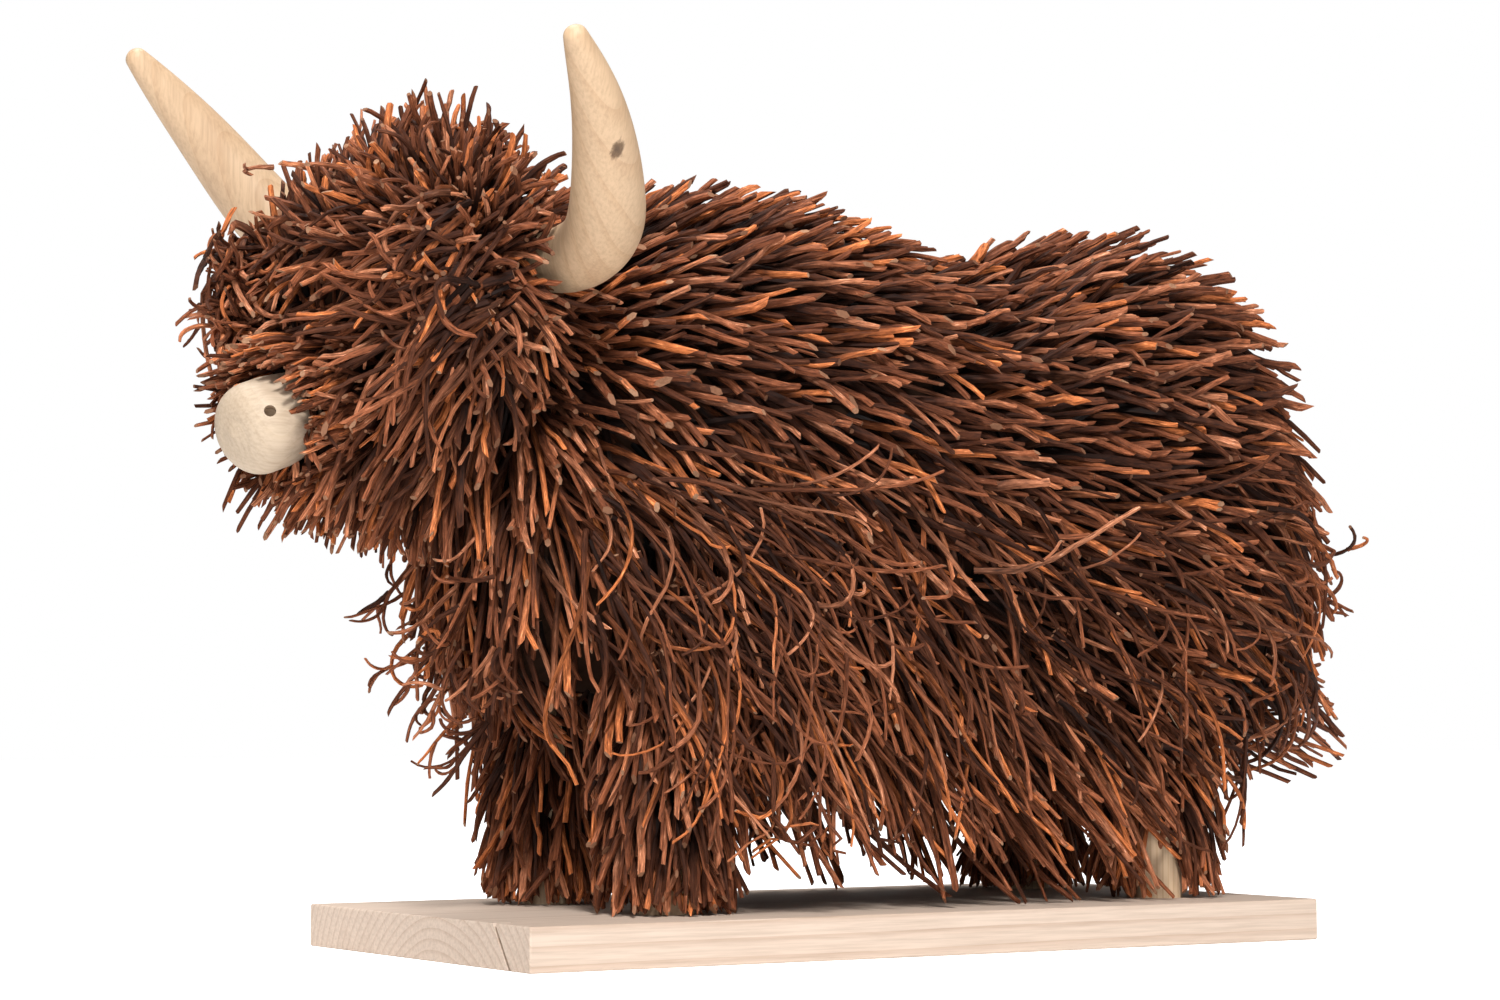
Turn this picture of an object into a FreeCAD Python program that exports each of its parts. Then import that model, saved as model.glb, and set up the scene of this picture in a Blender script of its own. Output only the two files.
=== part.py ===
"""A highland cow figure of cut twigs on a wooden plank.

Bench order, from the bottom up: a softwood plank; four whittled leg posts, each held by a
countersunk screw from below; a carved body block on the posts' tenons; a neck peg; a carved head
block; two carved horns and a turned muzzle, each on its own dowel. The twig coat is glued to the
blocks and posts. Here it is one closed solid for each area of the coat, with the true outer shape.

Units are millimetres. The origin is the centre of the plank's underside. The cow faces -Y, its own
left side is +X, and +Z is up.
"""

import FreeCAD, Part
import math
import os

from FreeCAD import Matrix, Placement, Rotation, Vector

# --- Driving dimensions -------------------------------------------------------------------------
PLANK_WIDTH = 220.0
PLANK_LENGTH = 440.0
PLANK_THICK = 20.0
PLANK_EASE = 1.0  # rounding of the plank's edges
CRACK_WIDTH = 2.6  # the dark split in the front end of the plank
CRACK_DEPTH = 9.0
CRACK_X_TOP = 75.0
CRACK_X_FOOT = 91.0

COAT = 25.0  # depth of the glued twigs over the blocks
GLUE_GAP = 0.05  # radial room round every peg, dowel and screw
END_ROOM = 1.0  # how far a hole runs past the end of what it holds
FAR = 600.0  # well outside the figure on every side

LEG_X = 55.0
LEG_FRONT_Y = -120.0
LEG_REAR_Y = 163.0
LEG_RADIUS = 13.0
LEG_TENON_RADIUS = 9.0
LEG_TENON_LENGTH = 32.0
LEG_SEAT = 8.0  # how far the post's full thickness enters the body block
SLEEVE_FOOT_RADIUS = 33.0
SLEEVE_TOP_RADIUS = 40.0
SLEEVE_TOP_Z = 186.0

SCREW_SHANK_RADIUS = 2.25
SCREW_HEAD_RADIUS = 4.4
SCREW_HEAD_HEIGHT = 2.6
SCREW_LENGTH = 50.0
SCREW_POINT = 5.0
SCREW_TIP_RADIUS = 0.3
RECESS_ARM = Vector(2.0, 0.45, 0)  # half the length and half the width of the cross recess's arms
RECESS_DEPTH = 1.4
SCREW_SINK = 0.6  # how far the head sits above the plank's underside

# The trunk's outer form, coat included: (y, half width, lowest z, highest z).
TRUNK_SECTIONS = [
    (-207, 34, 128, 250),
    (-196, 56, 112, 296),
    (-176, 76, 102, 334),
    (-140, 92, 96, 353),
    (-80, 101, 93, 359),
    (-20, 105, 92, 358),
    (50, 106, 92, 333),
    (115, 107, 92, 347),
    (170, 105, 91, 355),
    (220, 94, 90, 338),
    (252, 78, 90, 302),
    (272, 58, 95, 258),
    (284, 36, 112, 218),
]
TRUNK_SQUARENESS = 2.5  # exponent of the sections: 2 is an ellipse, more is boxier
SECTION_POINTS = 20

TOP_BAND_HALF = 58.0  # the coat's top strip runs this far to each side of the spine
TOP_BAND_Z = 225.0
WITHERS_Y = -30.0
LOIN_Y = 120.0
CHEST_Y = -135.0
RUMP_Y = 252.0
BELLY_Z = 122.0
BELLY_HALF = 66.0

FRINGE_OUTSIDE = 99.0
FRINGE_THICK = 24.0
FRINGE_TOP_Z = 190.0
FRINGE_FRONT = (-96.0, 66.0)  # y and z of the lower edge's two ends, and of its middle
FRINGE_MIDDLE = (20.0, 46.0)
FRINGE_BACK = (140.0, 40.0)

TAIL_TOP = Vector(0, 274, 214)
TAIL_TIP = Vector(0, 316, 84)
TAIL_TOP_RADIUS = 15.0
TAIL_TIP_RADIUS = 19.0

# The head has a frame of its own, which turns and tilts about the neck.
NECK_PIVOT = Vector(0, -190, 320)
HEAD_TURN = 18.0  # degrees towards the cow's left
HEAD_TILT = 5.0  # degrees, left ear down
NECK_PEG_RADIUS = 18.0
NECK_PEG_BACK_Y = -105.0
NECK_PEG_FRONT_Y = -212.0
NECK_PEG_Z = 272.0

HEAD_CENTRE = Vector(0, -225, 292)
HEAD_RADII = Vector(87, 76, 93)
SNOUT_START = Vector(0, -236, 262)
MUZZLE_DROP = 19.0  # degrees that the snout points below level
SNOUT_LENGTH = 64.0  # from SNOUT_START to the back of the muzzle
SNOUT_COAT_RADII = (60.0, 36.0)
SNOUT_COLLAR = 14.0  # how far the coat reaches over the muzzle's back
SNOUT_WOOD_RADII = (27.0, 19.0)
CROWN_Z = 338.0  # from here down: where the areas of the head's coat meet
CHIN_Z = 236.0
FACE_Y = -247.0
SNOUT_AREA_Y = -273.0
SNOUT_AREA_TOP_Z = 276.0

MUZZLE_RADIUS = 20.5
MUZZLE_LENGTH = 35.0
MUZZLE_FLARE = 12.0  # the length over which it swells to its full radius
MUZZLE_ROUNDING = 13.0
MUZZLE_DOME = 1.5  # how far the middle of its front bulges
NOSTRIL_RADIUS = 2.6
NOSTRIL_DEPTH = 6.0
NOSTRIL_SIDE = 16.5  # each nostril's place from the muzzle's axis, above it and along it
NOSTRIL_UP = 9.5
NOSTRIL_ALONG = 27.0

DOWEL_RADIUS = 4.0
DOWEL_LENGTH = 36.0
DOWEL_CHAMFER = 0.8

# A horn's centre line and radius in the head's frame, for the cow's left side.
HORN_STATIONS = [
    ((38, -207, 319), 13.6),
    ((64, -208, 318), 14.2),
    ((88, -211, 322), 16.0),
    ((105, -218, 333), 17.0),
    ((117, -231, 350), 15.8),
    ((127, -247, 370), 13.2),
    ((135, -265, 389), 9.6),
    ((140, -281, 404), 5.6),
]
HORN_TIP_ANGLES = (30, 55, 75, 86)  # where the rings of the round tip lie, in degrees


# --- Small builders -----------------------------------------------------------------------------
def box(low, high):
    """A box between two corners."""
    size = high - low
    return Part.makeBox(size.x, size.y, size.z, low)


def rod(start, end, radius, end_radius=None):
    """A round rod, or a cone where the end radius differs."""
    along = end - start
    if end_radius is None or abs(end_radius - radius) < 1e-6:
        return Part.makeCylinder(radius, along.Length, start, along)
    return Part.makeCone(radius, end_radius, along.Length, start, along)


def stretched(shape, centre, factors):
    """The shape scaled about a centre by its own factor on each axis."""
    move = Matrix()
    move.move(centre * -1)
    scale = Matrix()
    scale.scale(factors)
    back = Matrix()
    back.move(centre)
    return shape.transformGeometry(back * scale * move)


def inset(shape, depth):
    """The shape shrunk about its middle, so that every side moves in by the depth."""
    size = shape.BoundBox
    factors = Vector(
        (size.XLength - 2 * depth) / size.XLength,
        (size.YLength - 2 * depth) / size.YLength,
        (size.ZLength - 2 * depth) / size.ZLength,
    )
    return stretched(shape, size.Center, factors)


def section(y, half_width, z_low, z_high):
    """A closed upright section of the trunk, as a smooth superellipse that starts at the belly."""
    power = 2.0 / TRUNK_SQUARENESS
    middle = (z_low + z_high) / 2.0
    half_height = (z_high - z_low) / 2.0
    points = []
    for step in range(SECTION_POINTS):
        angle = 2 * math.pi * step / SECTION_POINTS - math.pi / 2
        across = math.copysign(abs(math.cos(angle)) ** power, math.cos(angle))
        upward = math.copysign(abs(math.sin(angle)) ** power, math.sin(angle))
        points.append(Vector(half_width * across, y, middle + half_height * upward))
    curve = Part.BSplineCurve()
    curve.interpolate(Points=points, PeriodicFlag=True)
    return Part.Wire(curve.toShape())


def loft(wires):
    return Part.makeLoft(wires, True, False)


def largest_solids(shape, share=0.02):
    """The shape's solids, without slivers under a share of the largest."""
    solids = sorted(shape.Solids, key=lambda solid: -solid.Volume)
    return [solid for solid in solids if solid.Volume > share * solids[0].Volume]


def cut_all(shape, tools):
    for tool in tools:
        shape = shape.cut(tool)
    return shape


def halved(shape):
    """The shape as glued up from a left and a right half, with the joint line on its surface."""
    left = shape.common(box(Vector(0, -FAR, -FAR), Vector(FAR, FAR, FAR)))
    right = shape.common(box(Vector(-FAR, -FAR, -FAR), Vector(0, FAR, FAR)))
    return left.fuse(right)


def export(name, shape):
    """One STEP per node. A node of several separate pieces holds several solids."""
    solids = largest_solids(shape)
    for solid in solids:
        if not solid.isValid():
            print("not valid:", name)
    whole = solids[0] if len(solids) == 1 else Part.makeCompound(solids)
    whole.exportStep(f"parts/{name}.step")


def head_placement():
    """Carries the head's own frame to its turned and tilted place on the neck."""
    turn = Rotation(Vector(0, 0, 1), HEAD_TURN)
    tilt = Rotation(Vector(0, 1, 0), HEAD_TILT)
    return Placement(Vector(0, 0, 0), turn.multiply(tilt), NECK_PIVOT)


def placed_head(shape):
    done = shape.copy()
    done.Placement = head_placement().multiply(done.Placement)
    return done


# --- Plank, legs and screws ---------------------------------------------------------------------
def leg_places():
    """Name and ground point of each leg, with the cow's left at +X."""
    return {
        "left_front": Vector(LEG_X, LEG_FRONT_Y, PLANK_THICK),
        "right_front": Vector(-LEG_X, LEG_FRONT_Y, PLANK_THICK),
        "left_rear": Vector(LEG_X, LEG_REAR_Y, PLANK_THICK),
        "right_rear": Vector(-LEG_X, LEG_REAR_Y, PLANK_THICK),
    }


def screw(foot):
    """A countersunk wood screw with a cross recess, pointing up into the leg at this foot."""
    base = Vector(foot.x, foot.y, SCREW_SINK)
    up = Vector(0, 0, 1)
    head = rod(base, base + up * SCREW_HEAD_HEIGHT, SCREW_HEAD_RADIUS, SCREW_SHANK_RADIUS)
    point_start = base + up * (SCREW_LENGTH - SCREW_POINT)
    shank = rod(base, point_start, SCREW_SHANK_RADIUS)
    point = rod(point_start, base + up * SCREW_LENGTH, SCREW_SHANK_RADIUS, SCREW_TIP_RADIUS)
    made = head.fuse(shank).fuse(point)
    for corner in (RECESS_ARM, Vector(RECESS_ARM.y, RECESS_ARM.x, 0)):
        made = made.cut(box(base - corner - up, base + corner + up * RECESS_DEPTH))
    return made


def screw_room(foot):
    """The hole that one screw takes out of the plank and the leg."""
    up = Vector(0, 0, 1)
    low = Vector(foot.x, foot.y, 0)
    mouth = rod(low, low + up * SCREW_SINK, SCREW_HEAD_RADIUS + GLUE_GAP)
    sink_top = low + up * (SCREW_SINK + SCREW_HEAD_HEIGHT)
    sink = rod(
        low + up * SCREW_SINK,
        sink_top,
        SCREW_HEAD_RADIUS + GLUE_GAP,
        SCREW_SHANK_RADIUS + GLUE_GAP,
    )
    hole_end = low + up * (SCREW_SINK + SCREW_LENGTH + END_ROOM)
    return mouth.fuse(sink).fuse(rod(low, hole_end, SCREW_SHANK_RADIUS + GLUE_GAP))


def plank():
    half = Vector(PLANK_WIDTH / 2, PLANK_LENGTH / 2, 0)
    board = box(half * -1, half + Vector(0, 0, PLANK_THICK))
    board = board.makeFillet(PLANK_EASE, board.Edges)
    past = 1.0  # the cutter of the crack stands this far out of the plank
    front = -PLANK_LENGTH / 2 - past
    rim = [
        Vector(CRACK_X_FOOT, front, -past),
        Vector(CRACK_X_FOOT + CRACK_WIDTH, front, -past),
        Vector(CRACK_X_TOP + CRACK_WIDTH, front, PLANK_THICK + past),
        Vector(CRACK_X_TOP, front, PLANK_THICK + past),
    ]
    crack = Part.Face(Part.makePolygon(rim + rim[:1])).extrude(Vector(0, CRACK_DEPTH + past, 0))
    return cut_all(board.cut(crack), [screw_room(foot) for foot in leg_places().values()])


def leg_post(foot, shoulder_z):
    """A round post with a thinner tenon that enters the body block."""
    shoulder = Vector(foot.x, foot.y, shoulder_z)
    post = rod(foot, shoulder, LEG_RADIUS)
    tenon = rod(shoulder, shoulder + Vector(0, 0, LEG_TENON_LENGTH), LEG_TENON_RADIUS)
    return post.fuse(tenon).cut(screw_room(foot))


def post_room(foot, shoulder_z):
    """What a post's full thickness takes out of the coat and the body block."""
    return rod(foot, Vector(foot.x, foot.y, shoulder_z), LEG_RADIUS)


def tenon_room(foot, shoulder_z):
    shoulder = Vector(foot.x, foot.y, shoulder_z)
    depth = LEG_TENON_LENGTH + END_ROOM
    return rod(shoulder, shoulder + Vector(0, 0, depth), LEG_TENON_RADIUS + GLUE_GAP)


def leg_sleeve(foot):
    """The outer form of one leg's coat. Its top ends inside the trunk's coat."""
    top = Vector(foot.x, foot.y, SLEEVE_TOP_Z)
    return rod(foot, top, SLEEVE_FOOT_RADIUS, SLEEVE_TOP_RADIUS)


# --- Trunk --------------------------------------------------------------------------------------
def trunk_form():
    return loft([section(*station) for station in TRUNK_SECTIONS])


def trunk_areas():
    """The box that bounds each area of the trunk's coat, in the order they are taken."""
    top = TOP_BAND_HALF
    areas = {
        "chest_twigs": ((-FAR, -FAR, -FAR), (FAR, CHEST_Y, FAR)),
        "rump_twigs": ((-FAR, RUMP_Y, -FAR), (FAR, FAR, FAR)),
        "mane_twigs": ((-top, CHEST_Y, TOP_BAND_Z), (top, WITHERS_Y, FAR)),
        "back_twigs": ((-top, WITHERS_Y, TOP_BAND_Z), (top, LOIN_Y, FAR)),
        "croup_twigs": ((-top, LOIN_Y, TOP_BAND_Z), (top, RUMP_Y, FAR)),
        "belly_twigs": ((-BELLY_HALF, CHEST_Y, -FAR), (BELLY_HALF, RUMP_Y, BELLY_Z)),
    }
    lengths = {
        "shoulder_twigs": (CHEST_Y, WITHERS_Y),
        "flank_twigs": (WITHERS_Y, LOIN_Y),
        "haunch_twigs": (LOIN_Y, RUMP_Y),
    }
    for name, (front, back) in lengths.items():
        areas["left_" + name] = ((0, front, -FAR), (FAR, back, FAR))
        areas["right_" + name] = ((-FAR, front, -FAR), (0, back, FAR))
    return {name: box(Vector(*low), Vector(*high)) for name, (low, high) in areas.items()}


def split_by_areas(shape, boxes):
    """Each area's share of the shape. A box takes all it holds, and the later ones get the rest."""
    shares = {}
    taken = []
    for name, whole_box in boxes.items():
        near = [other for other in taken if whole_box.common(other).Volume > 0]
        shares[name] = shape.common(cut_all(whole_box, near))
        taken.append(whole_box)
    return shares


def belly_fringe(side):
    """The curtain of long twigs that hangs below one flank, with an arched lower edge."""
    inner = FRINGE_OUTSIDE - FRINGE_THICK
    at = [Vector(inner, y, z) for y, z in (FRINGE_FRONT, FRINGE_MIDDLE, FRINGE_BACK)]
    top_front = Vector(inner, FRINGE_FRONT[0], FRINGE_TOP_Z)
    top_back = Vector(inner, FRINGE_BACK[0], FRINGE_TOP_Z)
    rim = [
        Part.Arc(*at).toShape(),
        Part.makeLine(at[2], top_back),
        Part.makeLine(top_back, top_front),
        Part.makeLine(top_front, at[0]),
    ]
    curtain = Part.Face(Part.Wire(rim)).extrude(Vector(FRINGE_THICK, 0, 0))
    if side < 0:
        return curtain.mirror(Vector(0, 0, 0), Vector(1, 0, 0))
    return curtain


# --- Head, in its own frame ---------------------------------------------------------------------
def snout_direction():
    drop = math.radians(MUZZLE_DROP)
    return Vector(0, -math.cos(drop), -math.sin(drop))


def muzzle_back():
    return SNOUT_START + snout_direction() * SNOUT_LENGTH


def head_ball(radii):
    """A stretched ball. Its poles are at the ears, clear of every joint between the areas."""
    ball = Part.makeSphere(1.0, HEAD_CENTRE, Vector(1, 0, 0))
    return stretched(ball, HEAD_CENTRE, radii)


def head_form(depth, snout_radii, past=0.0):
    """The head's ball with its snout: the outer coat at depth 0, the carved block at COAT."""
    ball = head_ball(HEAD_RADII - Vector(depth, depth, depth))
    snout_end = muzzle_back() + snout_direction() * past
    return ball.fuse(rod(SNOUT_START, snout_end, *snout_radii))


def muzzle():
    """A turned knob with a well rounded front and two drilled nostrils."""
    back_radius = SNOUT_WOOD_RADII[1]
    soft = MUZZLE_LENGTH - MUZZLE_ROUNDING
    nose = MUZZLE_RADIUS - MUZZLE_ROUNDING
    bend = MUZZLE_ROUNDING * math.sin(math.radians(45))
    corners = [Vector(0, 0, 0), Vector(back_radius, 0, 0), Vector(MUZZLE_RADIUS, 0, MUZZLE_FLARE)]
    shoulder = Vector(MUZZLE_RADIUS, 0, soft)
    rounding_middle = Vector(nose + bend, 0, soft + bend)
    face_edge = Vector(nose, 0, MUZZLE_LENGTH)
    face_middle = Vector(0, 0, MUZZLE_LENGTH + MUZZLE_DOME)
    wire = Part.Wire(
        [
            Part.makeLine(corners[0], corners[1]),
            Part.makeLine(corners[1], corners[2]),
            Part.makeLine(corners[2], shoulder),
            Part.Arc(shoulder, rounding_middle, face_edge).toShape(),
            Part.makeLine(face_edge, face_middle),
            Part.makeLine(face_middle, corners[0]),
        ]
    )
    knob = Part.Face(wire).revolve(Vector(0, 0, 0), Vector(0, 0, 1), 360)
    for side in (1, -1):
        mouth = Vector(side * NOSTRIL_SIDE, NOSTRIL_UP, NOSTRIL_ALONG)
        outward = Vector(mouth.x, mouth.y, mouth.z - soft + nose).normalize()
        drill_start = mouth + outward * NOSTRIL_DEPTH
        drill_end = mouth - outward * NOSTRIL_DEPTH
        knob = knob.cut(rod(drill_start, drill_end, NOSTRIL_RADIUS))
    # The knob is turned about its own +Z, with its top at +Y. This lays it along the snout.
    knob.Placement = Placement(muzzle_back(), Rotation(Vector(1, 0, 0), 90 + MUZZLE_DROP))
    return knob


def ring(centre, ahead, radius):
    """A circle square to a direction, turned so that neighbouring rings never twist."""
    circle = Part.Wire(Part.makeCircle(radius))
    circle.Placement = Placement(centre, Rotation(Vector(0, 0, 1), ahead))
    return circle


def horn(side):
    """A carved horn: round sections square to its centre line, closing to a rounded tip."""
    points = [Vector(side * x, y, z) for (x, y, z), _ in HORN_STATIONS]
    radii = [radius for _, radius in HORN_STATIONS]
    last = len(points) - 1
    rings = []
    for index, (point, radius) in enumerate(zip(points, radii)):
        before = points[max(index - 1, 0)]
        after = points[min(index + 1, last)]
        ahead = (after - before).normalize() if index else Vector(side, 0, 0)
        rings.append(ring(point, ahead, radius))
    for angle in map(math.radians, HORN_TIP_ANGLES):
        past = ahead * (radii[last] * math.sin(angle))
        rings.append(ring(points[last] + past, ahead, radii[last] * math.cos(angle)))
    return loft(rings)


def dowel(centre, direction):
    """A plain dowel with eased ends, centred on the joint that it holds."""
    half = direction * (DOWEL_LENGTH / 2)
    straight = rod(centre - half, centre + half, DOWEL_RADIUS)
    rims = [edge for edge in straight.Edges if isinstance(edge.Curve, Part.Circle)]
    return straight.makeChamfer(DOWEL_CHAMFER, rims)


def dowel_room(centre, direction):
    half = direction * (DOWEL_LENGTH / 2 + END_ROOM)
    return rod(centre - half, centre + half, DOWEL_RADIUS + GLUE_GAP)


def head_areas():
    """The box that bounds each area of the head's coat, in the order they are taken."""
    areas = {
        "crown_twigs": ((-FAR, -FAR, CROWN_Z), (FAR, FAR, FAR)),
        "snout_twigs": ((-FAR, -FAR, CHIN_Z), (FAR, SNOUT_AREA_Y, SNOUT_AREA_TOP_Z)),
        "chin_twigs": ((-FAR, -FAR, -FAR), (FAR, FACE_Y, CHIN_Z)),
        "forelock_twigs": ((-FAR, -FAR, CHIN_Z), (FAR, FACE_Y, CROWN_Z)),
        "left_cheek_twigs": ((0, -FAR, -FAR), (FAR, FAR, FAR)),
        "right_cheek_twigs": ((-FAR, -FAR, -FAR), (0, FAR, FAR)),
    }
    return {name: box(Vector(*low), Vector(*high)) for name, (low, high) in areas.items()}


# --- Whole figure -------------------------------------------------------------------------------
def neck_peg(gap=0.0, end_room=0.0):
    """The peg through the neck, or with a gap and end room the hole that it sits in."""
    back = Vector(0, NECK_PEG_BACK_Y + end_room, NECK_PEG_Z)
    front = Vector(0, NECK_PEG_FRONT_Y - end_room, NECK_PEG_Z)
    return rod(back, front, NECK_PEG_RADIUS + gap)


def head_parts():
    """Every piece of the head, already turned and tilted, with the head's outer form."""
    form = head_form(0, SNOUT_COAT_RADII, past=SNOUT_COLLAR)
    block = head_form(COAT, SNOUT_WOOD_RADII)
    peg_room = neck_peg(GLUE_GAP, END_ROOM)
    nose = muzzle()
    horns = {"left": horn(1), "right": horn(-1)}
    root = Vector(*HORN_STATIONS[0][0])
    joints = {
        "left": (root, Vector(1, 0, 0)),
        "right": (Vector(-root.x, root.y, root.z), Vector(-1, 0, 0)),
        "muzzle": (muzzle_back(), snout_direction()),
    }
    rooms = {name: dowel_room(*joint) for name, joint in joints.items()}
    carved = cut_all(halved(block), [*horns.values(), *rooms.values()])
    coat = cut_all(form, [block, nose, *horns.values()])
    parts = {
        "left_horn": horns["left"].cut(rooms["left"]),
        "right_horn": horns["right"].cut(rooms["right"]),
        "muzzle": nose.cut(rooms["muzzle"]),
        "horn_dowels": Part.makeCompound([dowel(*joints["left"]), dowel(*joints["right"])]),
        "muzzle_dowel": dowel(*joints["muzzle"]),
        "head_block": carved,
        **split_by_areas(coat, head_areas()),
    }
    placed = {name: placed_head(shape) for name, shape in parts.items()}
    placed["head_block"] = placed["head_block"].cut(peg_room)
    return placed, placed_head(form)


def main():
    os.makedirs("parts", exist_ok=True)
    feet = leg_places()
    trunk = trunk_form()
    body_block = inset(trunk, COAT)
    shoulder_z = body_block.BoundBox.ZMin + LEG_SEAT
    post_rooms = [post_room(foot, shoulder_z) for foot in feet.values()]
    tenon_rooms = [tenon_room(foot, shoulder_z) for foot in feet.values()]
    peg_room = neck_peg(GLUE_GAP, END_ROOM)

    nodes, head_outside = head_parts()
    nodes["base_plank"] = plank()
    nodes["leg_screws"] = Part.makeCompound([screw(foot) for foot in feet.values()])
    nodes["neck_peg"] = neck_peg()
    nodes["body_block"] = cut_all(body_block, [*post_rooms, *tenon_rooms, peg_room])
    for name, foot in feet.items():
        nodes[name + "_leg"] = leg_post(foot, shoulder_z)

    coat = cut_all(trunk, [body_block, head_outside, *post_rooms, neck_peg()])
    nodes.update(split_by_areas(coat, trunk_areas()))

    sleeves = {name: leg_sleeve(foot).cut(trunk) for name, foot in feet.items()}
    for (name, sleeve), room in zip(sleeves.items(), post_rooms):
        nodes[name + "_leg_twigs"] = sleeve.cut(room)
    for name, side in {"left_belly_fringe": 1, "right_belly_fringe": -1}.items():
        nodes[name] = cut_all(belly_fringe(side), [trunk, *sleeves.values()])
    tail = rod(TAIL_TOP, TAIL_TIP, TAIL_TOP_RADIUS, TAIL_TIP_RADIUS)
    nodes["tail_twigs"] = tail.cut(trunk)

    for name, shape in nodes.items():
        export(name, shape)


main()
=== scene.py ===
"""Looks for the twig highland cow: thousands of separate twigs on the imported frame, and bare wood.

Lengths are metres in the frame's axes: the cow faces -Y, its own left is +X, +Z is up. Every coat
node of the frame is replaced by the twigs of that area. Each twig ends near the node's outer
surface and is rooted on the block under it. Extra bundles of twigs lie between the areas or cross
them. The wooden nodes stay as they are and get wood materials.
"""

import math

import bpy
import numpy as np
from mathutils import Euler, Matrix, Vector
from mathutils.bvhtree import BVHTree


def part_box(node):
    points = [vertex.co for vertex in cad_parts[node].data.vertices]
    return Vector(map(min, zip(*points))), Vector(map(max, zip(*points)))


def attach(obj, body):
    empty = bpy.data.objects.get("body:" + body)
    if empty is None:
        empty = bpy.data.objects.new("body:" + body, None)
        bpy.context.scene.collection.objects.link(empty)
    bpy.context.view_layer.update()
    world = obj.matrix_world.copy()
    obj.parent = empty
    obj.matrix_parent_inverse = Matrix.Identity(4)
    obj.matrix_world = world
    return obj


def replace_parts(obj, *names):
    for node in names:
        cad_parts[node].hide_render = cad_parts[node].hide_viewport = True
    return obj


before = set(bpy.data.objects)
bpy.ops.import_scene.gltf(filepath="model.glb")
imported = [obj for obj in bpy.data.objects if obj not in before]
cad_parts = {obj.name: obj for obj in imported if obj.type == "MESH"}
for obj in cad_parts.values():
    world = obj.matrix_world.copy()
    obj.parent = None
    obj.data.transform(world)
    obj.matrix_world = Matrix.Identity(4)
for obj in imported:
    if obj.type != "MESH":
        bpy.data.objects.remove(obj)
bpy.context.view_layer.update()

MM = 0.001
rng = np.random.default_rng(20)

# --- Places and nodes ---------------------------------------------------------------------------
PLANK_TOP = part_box("base_plank")[1][2]

# The head's own frame: turned and tilted about a point in the neck. The head's places are in it.
NECK_PIVOT = np.array([0, -190, 320]) * MM
HEAD_TURN = math.radians(18)
HEAD_TILT = math.radians(5)
HEAD_AXES = np.array(Matrix.Rotation(HEAD_TURN, 3, "Z") @ Matrix.Rotation(HEAD_TILT, 3, "Y"))
HEAD_CENTRE = np.array([0, -225, 292]) * MM
WHORL = np.array([62, -267, 332]) * MM  # the crown's twigs spread out from here
EAR = np.array([76, -256, 300]) * MM  # and the cheek's from here, and from its mirror image
CHEEK_TOP = np.array([66, -256, 302]) * MM  # the locks in front of the ear start here
SNOUT_WAY = np.array([0, -0.946, -0.326])  # the way the snout points
SNOUT_RISE = np.array([0, -0.326, 0.946])  # and the way up, square to it
MUZZLE_BACK = np.array([0, -296.5, 241.1]) * MM

DOWN = np.array([0.0, 0.0, -1.0])

TRUNK_NODES = (
    "chest_twigs",
    "mane_twigs",
    "back_twigs",
    "croup_twigs",
    "rump_twigs",
    "left_shoulder_twigs",
    "right_shoulder_twigs",
    "left_flank_twigs",
    "right_flank_twigs",
    "left_haunch_twigs",
    "right_haunch_twigs",
)
HEAD_NODES = (
    "crown_twigs",
    "forelock_twigs",
    "left_cheek_twigs",
    "right_cheek_twigs",
    "chin_twigs",
    "snout_twigs",
)
FRINGE_NODES = ("left_belly_fringe", "right_belly_fringe")
POST_NODES = ("left_front_leg", "right_front_leg", "left_rear_leg", "right_rear_leg")
LEG_NODES = tuple(name + "_twigs" for name in POST_NODES)
HORNS = ("left_horn", "right_horn")


# --- Small vector helpers -----------------------------------------------------------------------
def unit(rows):
    """The rows as unit vectors."""
    return rows / np.maximum(np.linalg.norm(rows, axis=-1, keepdims=True), 1e-9)


def flattened(rows, normals):
    """The rows without their part along the normals, as unit vectors."""
    return unit(rows - normals * np.sum(rows * normals, axis=1, keepdims=True))


def to_head(points):
    """Places of the figure as places in the head's own frame."""
    return (points - NECK_PIVOT) @ HEAD_AXES + NECK_PIVOT


def from_head(points):
    """Places in the head's own frame as places of the figure."""
    return (points - NECK_PIVOT) @ HEAD_AXES.T + NECK_PIVOT


def from_head_direction(rows):
    """Directions in the head's own frame as directions of the figure."""
    return rows @ HEAD_AXES.T


def nearest(tree, points):
    """The spots of a search tree's surface that are nearest to the points."""
    return np.array([tree.find_nearest(Vector(point))[0] for point in points])


def spread(mean, share, count):
    """Random sizes about a mean, within a share of it either way."""
    return mean * (1 + share * rng.uniform(-1, 1, count))


def jitter(place, size, count):
    """Points scattered about a place by a size along each axis, all in millimetres."""
    return np.array(place) * MM + rng.normal(size=(count, 3)) * np.array(size) * MM


def alternate_sides(count):
    """1 for the left side and -1 for the right side, in turn."""
    return np.where(np.arange(count) % 2 == 0, 1.0, -1.0)


# --- Points on the coat's outer surface ---------------------------------------------------------
TOUCHING = 1.8 * MM  # two areas of the coat lie against each other where they are this near
FACING = -0.5  # and their normals have a product below this
TRIES_PER_POINT = 2.2  # random points per point wanted, as many turn out too near another


def node_triangles(name):
    """A node's triangle corners, as an array of count x 3 x 3."""
    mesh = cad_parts[name].data
    mesh.calc_loop_triangles()
    corners = np.empty(len(mesh.vertices) * 3)
    mesh.vertices.foreach_get("co", corners)
    picks = np.empty(len(mesh.loop_triangles) * 3, dtype=np.int64)
    mesh.loop_triangles.foreach_get("vertices", picks)
    return corners.reshape(-1, 3)[picks].reshape(-1, 3, 3)


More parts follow.
